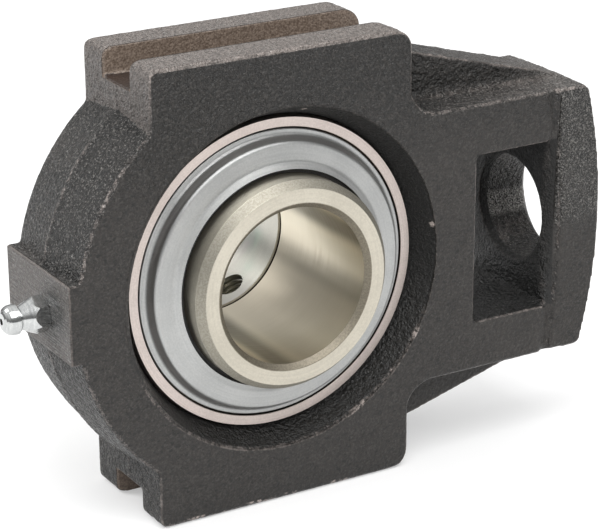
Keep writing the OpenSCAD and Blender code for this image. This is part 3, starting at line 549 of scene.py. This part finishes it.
def inner_ring_steel():
    """Satin face, a bore with dark bands painted as reflections, a grainy chamfer and lip, and a dark band where the
    collar starts.
    """
    s = turned_metal("ground_steel")
    _, y, _ = s.axes()
    chamfer = s.times(s.ramp(s.radius(), *CHAMFER_R), s.ramp(y, *CHAMFER_Y))
    lip = s.times(s.ramp(s.radius(), *LIP_R), s.ramp(y, *LIP_Y))
    grains = s.mark("grains")
    base = s.mix(chamfer, s.now("Base Color"), s.mix(grains, CHAMFER_DARK, CHAMFER_LIGHT))
    base = s.mix(s.ramp(s.radius(), *BORE_WALL_R), base, bore_with_dark_reflections(s))
    s.set(Base_Color=s.mix(lip, base, s.mix(grains, LIP_DARK, LIP_LIGHT)),
          Roughness=s.most(s.now("Roughness"), s.times(s.most(chamfer, lip), EDGE_ROUGH)))
    return darkened(s, s.ramp(y, *RING_END_DARK_Y), DARK_LINE)


def collar_zinc():
    """Zinc plate with faint green and violet tints, and a dark band where it meets the inner ring."""
    s = turned_metal("zinc_collar", depth=FAINT_DEPTH)
    _, y, _ = s.axes()
    hue = s.mix(s.mark("tint"), ZINC_VIOLET, ZINC_GREEN)
    s.set(Base_Color=s.mix(s.mark("tinted_areas"), s.now("Base Color"), hue))
    return darkened(s, s.ramp(y, *COLLAR_END_DARK_Y), DARK_LINE)


def rubber():
    """Black, slightly mottled and dull."""
    s = Shader("seal_rubber")
    spots = s.noise(*RUBBER_SPOTS)
    return s.set(Base_Color=s.mix(spots, RUBBER_DARK, RUBBER_LIGHT),
                 Roughness=s.ramp(spots, *RUBBER_ROUGH),
                 Normal=s.bump(spots, RUBBER_DEPTH, RUBBER_BUMP))


def dress(names, mat):
    """Gives CAD nodes their material."""
    for name in names:
        obj = nodes[name]
        obj.data.materials.clear()
        obj.data.materials.append(mat)


def welded(mesh):
    """A copy of a mesh with its seams closed."""
    copy = mesh.copy()
    work = bmesh.new()
    work.from_mesh(copy)
    bmesh.ops.remove_doubles(work, verts=work.verts, dist=WELD_DIST)
    work.to_mesh(copy)
    work.free()
    return copy


def applied(piece):
    """Makes a piece's modifiers part of its mesh."""
    mesh = bpy.data.meshes.new_from_object(piece.evaluated_get(bpy.context.evaluated_depsgraph_get()))
    piece.modifiers.clear()
    piece.data = mesh


def as_cast(vertex):
    """0 on the milled pad, in the milled slots and in the seat, 1 on the sides, less on the faces and their edges."""
    point = vertex.co
    in_slot = abs(point.y) < SLOT_HALF_W + SLOT_MARGIN and abs(point.z) > SLOT_FLOOR_Z - SLOT_MARGIN
    on_pad = point.x < PAD_X + PAD_MARGIN
    in_seat = math.hypot(point.x, point.z) < SEAT_R + SEAT_MARGIN
    if in_slot or on_pad or in_seat:
        return 0.0
    return FACE_SAND if abs(vertex.normal.y) > FACE_TILT else 1.0


def on_soft_edge(point):
    """The band's edge on either face, which the mould left blunt."""
    return BAND_EDGE_X[0] < point.x < BAND_EDGE_X[1] and abs(point.y) > BAND_EDGE_Y


def raise_seam(mesh):
    """The low ridge of metal along the mould's parting line."""
    for vertex in mesh.vertices:
        beside = abs(vertex.co.y) / SEAM_HALF_W
        if beside < 1.0 and vertex.co.x < SEAM_END_X and as_cast(vertex) == 1.0:
            vertex.co += vertex.normal * SEAM_H * (1.0 - beside)


def shift_mouth(mesh):
    """Moves the left edge of the front recess inwards, as it was cast a little off the seat's centre."""
    for vertex in mesh.vertices:
        point = vertex.co
        reach = math.hypot(point.x, point.z)
        if point.x < 0.0 and point.y < MOUTH_START and reach < MOUTH_FADE[1]:
            depth = min(1.0, (MOUTH_START - point.y) / MOUTH_DEPTH)
            fade = min(1.0, (MOUTH_FADE[1] - reach) / (MOUTH_FADE[1] - MOUTH_FADE[0]))
            vertex.co.x -= MOUTH_SHIFT * depth * fade * point.x / reach


def smooth(piece, name, passes):
    """Adds a smoothing modifier to a piece."""
    modifier = piece.modifiers.new(name, "SMOOTH")
    modifier.factor = SMOOTH_FACTOR
    modifier.iterations = passes
    return modifier


def housing_skin():
    """The casting with softened edges and a sandy surface, made from the CAD solid's own mesh."""
    source = nodes["take_up_housing"]
    piece = bpy.data.objects.new("cast_housing", welded(source.data))
    scene.collection.objects.link(piece)
    voxels = piece.modifiers.new("voxels", "REMESH")
    voxels.mode = "VOXEL"
    voxels.voxel_size = VOXEL
    fit = piece.modifiers.new("fit", "SHRINKWRAP")
    fit.target = source
    smooth(piece, "soften", SOFTEN_PASSES)
    applied(piece)

    raise_seam(piece.data)
    shift_mouth(piece.data)
    blunt = piece.vertex_groups.new(name="blunt")
    blunt.add([v.index for v in piece.data.vertices if on_soft_edge(v.co)], 1.0, "REPLACE")
    smooth(piece, "blur", BLUNT_PASSES).vertex_group = "blunt"

    cast = piece.vertex_groups.new(name="cast")
    weights = [as_cast(v) for v in piece.data.vertices]
    for share in (FACE_SAND, 1.0):
        cast.add([i for i, weight in enumerate(weights) if weight == share], share, "REPLACE")
    for name, scale, height in SAND:
        texture = bpy.data.textures.new(name, "CLOUDS")
        texture.noise_scale = scale
        texture.noise_depth = SAND_DEPTH
        sand = piece.modifiers.new(name, "DISPLACE")
        sand.texture = texture
        sand.strength = height
        sand.mid_level = SAND_MIDDLE
        sand.vertex_group = "cast"
    applied(piece)

    mesh = piece.data
    mesh.polygons.foreach_set("use_smooth", [True] * len(mesh.polygons))
    mesh.materials.clear()
    mesh.materials.append(casting())
    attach(piece, "housing")
    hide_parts("take_up_housing")


def check_spring(mat):
    """The nipple's spring as a piece of its own, with its own copy of the mesh; the real spring shortens as the check
    ball is pushed in.
    """
    piece = bpy.data.objects.new("check_spring", welded(nodes["nipple_spring"].data))
    scene.collection.objects.link(piece)
    piece.data.materials.clear()
    piece.data.materials.append(mat)
    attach(piece, "housing")
    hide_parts("nipple_spring")
    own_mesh(piece)


def area_light(name, place, side, power):
    """A square lamp that shines at the bearing's centre."""
    lamp = bpy.data.lights.new(name, "AREA")
    lamp.shape = "SQUARE"
    lamp.size = side
    lamp.energy = power
    obj = bpy.data.objects.new(name, lamp)
    obj.location = place
    obj.rotation_euler = (-Vector(place)).to_track_quat("-Z", "Y").to_euler()
    scene.collection.objects.link(obj)


def seen_directly(s):
    """1 for camera, mirror and glass rays, 0 for the rays that light the object."""
    path = s.add("ShaderNodeLightPath")
    return s.most(*(path.outputs[f"Is {kind} Ray"] for kind in ("Camera", "Glossy", "Transmission")))


def studio():
    """A pale room that is bright above, with a soft lamp above the camera and a weak one behind at the left."""
    world = bpy.data.worlds.new("studio")
    scene.world = world
    world.use_nodes = True
    tree = world.node_tree
    back = tree.nodes["Background"]
    coord = tree.nodes.new("ShaderNodeTexCoord")
    dot = tree.nodes.new("ShaderNodeVectorMath")
    dot.operation = "DOT_PRODUCT"
    tree.links.new(coord.outputs["Generated"], dot.inputs[0])
    dot.inputs[1].default_value = Vector(ROOM_BRIGHT_SIDE).normalized()
    level = tree.nodes.new("ShaderNodeMapRange")
    level.interpolation_type = "SMOOTHSTEP"
    for socket, number in zip(("From Min", "From Max", "To Min", "To Max"), (*ROOM_SPAN, *ROOM_LEVELS)):
        level.inputs[socket].default_value = number
    tree.links.new(dot.outputs["Value"], level.inputs["Value"])
    tree.links.new(level.outputs[0], back.inputs["Strength"])
    back.inputs["Color"].default_value = (*WHITE, 1.0)
    for lamp in LAMPS:
        area_light(*lamp)


def floor():
    """A white table that keeps the object's shadow."""
    mesh = bpy.data.meshes.new("floor")
    corners = ((-1, -1), (1, -1), (1, 1), (-1, 1))
    mesh.from_pydata([(FLOOR_HALF * x, FLOOR_HALF * y, FLOOR_Z) for x, y in corners], [], [(0, 1, 2, 3)])
    obj = bpy.data.objects.new("floor", mesh)
    scene.collection.objects.link(obj)
    s = Shader("pale_floor")
    mesh.materials.append(s.set(
        Base_Color=FLOOR_COLOUR, Roughness=FLOOR_ROUGH, Specular_IOR_Level=0.0, Emission_Color=WHITE,
        Emission_Strength=s.times(seen_directly(s), FLOOR_GLOW)))


def camera():
    """The camera that was fitted to the photograph."""
    back = Vector((math.sin(CAM_AZ) * math.cos(CAM_EL), -math.cos(CAM_AZ) * math.cos(CAM_EL), math.sin(CAM_EL)))
    level = Vector((0, 0, 1)).cross(back).normalized()
    upright = back.cross(level)
    right = math.cos(CAM_ROLL) * level + math.sin(CAM_ROLL) * upright
    up = math.cos(CAM_ROLL) * upright - math.sin(CAM_ROLL) * level
    lens = bpy.data.cameras.new("camera")
    lens.sensor_width = SENSOR_W
    lens.lens = CAM_FOCAL / PHOTO_W * SENSOR_W
    lens.shift_x = (PHOTO_W / 2 - CAM_CENTRE[0]) / PHOTO_W
    lens.shift_y = (CAM_CENTRE[1] - PHOTO_H / 2) / PHOTO_W
    lens.clip_start = CLIP_START
    obj = bpy.data.objects.new("camera", lens)
    obj.matrix_world = Matrix.Translation(CAM_POS) @ Matrix((right, up, back)).transposed().to_4x4()
    scene.collection.objects.link(obj)
    scene.camera = obj


camera()
studio()
floor()
housing_skin()

bright_zinc = turned_metal("bright_zinc", axis="X").mat
check_spring(bright_zinc)
dress(["nipple_body", "nipple_check_ball"], bright_zinc)
dress(["outer_ring"], outer_ring_steel())
dress(["inner_ring"], inner_ring_steel())
dress(["front_shield", "rear_shield"], turned_metal("zinc_sheet").mat)
dress(["locking_collar"], collar_zinc())
dress(["cage_front_half", "cage_rear_half", "cage_rivets"], turned_metal("cage_sheet").mat)
dress([f"ball_{i}" for i in range(1, 10)], turned_metal("ball_steel").mat)
dress(["collar_set_screw"], turned_metal("screw_steel").mat)
dress(["front_seal_lip", "rear_seal_lip"], rubber())

scene.view_settings.view_transform = "Standard"
